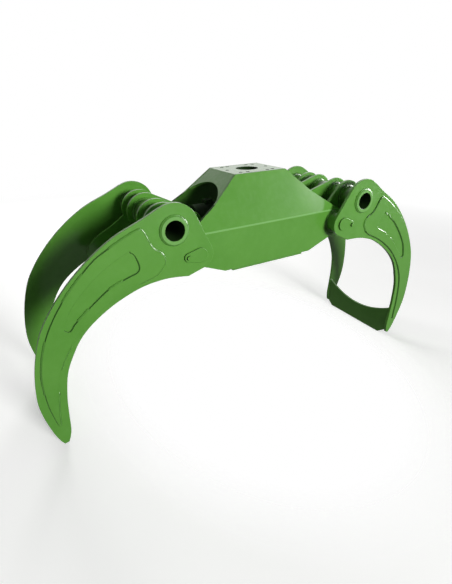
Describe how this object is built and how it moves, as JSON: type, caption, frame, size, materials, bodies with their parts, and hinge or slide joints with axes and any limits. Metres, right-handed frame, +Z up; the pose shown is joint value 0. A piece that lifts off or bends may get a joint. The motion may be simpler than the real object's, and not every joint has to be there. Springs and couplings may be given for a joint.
{
  "type": "log grapple",
  "caption": "Hydraulic log grapple: a housing under a rotator flange, two curved jaws on pivot pins and one cylinder that opens and closes them.",
  "frame": {"origin": "centre of the rotator flange's top face, on the axis of its bolt patterns", "axes": "+X across the jaws, from the cylinder's base end to its rod end; +Y through the grapple's width, away from the viewer of the front side; +Z up, out of the rotator flange"},
  "size_m": [2.1048, 0.575, 1.0909],
  "materials": {
    "green_paint": "glossy enamel, slightly uneven",
    "steel": "turned steel",
    "rod_chrome": "ground and hard-chromed",
    "bush_bronze": "machined bearing bronze"
  },
  "bodies": {
    "housing": {"top_plate": "green_paint", "housing_side_front": "green_paint", "housing_side_back": "green_paint", "end_plate_left": "green_paint", "end_plate_right": "green_paint", "bottom_plate": "green_paint", "pivot_boss_front_left": "green_paint", "pivot_boss_front_right": "green_paint", "pivot_boss_back_left": "green_paint", "pivot_boss_back_right": "green_paint", "pivot_bush_front_left": "bush_bronze", "pivot_bush_front_right": "bush_bronze", "pivot_bush_back_left": "bush_bronze", "pivot_bush_back_right": "bush_bronze"},
    "left_jaw": {"left_front_plate": "green_paint", "left_back_plate": "green_paint", "left_front_doubler": "green_paint", "left_back_doubler": "green_paint", "left_front_lug": "green_paint", "left_back_lug": "green_paint", "left_front_horn": "green_paint", "left_back_horn": "green_paint", "left_torque_tube": "green_paint", "left_blade": "green_paint", "left_web": "green_paint", "left_front_pivot_pin": "green_paint", "left_back_pivot_pin": "green_paint", "left_lock_bolts": "green_paint", "left_ram_pin": "steel", "left_ram_pin_rings": "steel"},
    "right_jaw": {"right_front_plate": "green_paint", "right_back_plate": "green_paint", "right_front_doubler": "green_paint", "right_back_doubler": "green_paint", "right_front_lug": "green_paint", "right_back_lug": "green_paint", "right_front_horn": "green_paint", "right_back_horn": "green_paint", "right_torque_tube": "green_paint", "right_blade": "green_paint", "right_web": "green_paint", "right_front_pivot_pin": "green_paint", "right_back_pivot_pin": "green_paint", "right_lock_bolts": "green_paint", "right_ram_pin": "steel", "right_ram_pin_rings": "steel"},
    "barrel": {"ram_barrel": "green_paint", "ram_base_eye": "green_paint", "ram_base_eye_bush": "bush_bronze", "ram_gland": "steel", "ram_ports": "green_paint"},
    "rod": {"piston": "steel", "piston_rod": "rod_chrome", "ram_rod_eye": "green_paint", "ram_rod_eye_bush": "bush_bronze"}
  },
  "joints": [
    {"name": "left_jaw_pivot", "type": "hinge", "parent": "housing", "child": "left_jaw", "pos_m": [-0.392, 0, -0.269], "axis": [0, -1, 0], "range_deg": [-25, 61]},
    {"name": "right_jaw_pivot", "type": "hinge", "parent": "housing", "child": "right_jaw", "pos_m": [0.392, 0, -0.269], "axis": [0, 1, 0], "range_deg": [-25.5, 61.5]},
    {"name": "ram_base_pivot", "type": "hinge", "parent": "left_jaw", "child": "barrel", "pos_m": [-0.32975, 0, -0.19074], "axis": [0, -1, 0], "range_deg": [-63, 26]},
    {"name": "ram_rod_pivot", "type": "hinge", "parent": "right_jaw", "child": "rod", "pos_m": [0.34521, 0, -0.18062], "axis": [0, -1, 0], "range_deg": [-25, 60]}
  ],
  "couplings": [
    {"joint": "right_jaw_pivot", "follows": "left_jaw_pivot", "ratio": 1},
    {"joint": "ram_base_pivot", "follows": "left_jaw_pivot", "ratio": -1.024},
    {"joint": "ram_rod_pivot", "follows": "left_jaw_pivot", "ratio": 0.976}
  ]
}
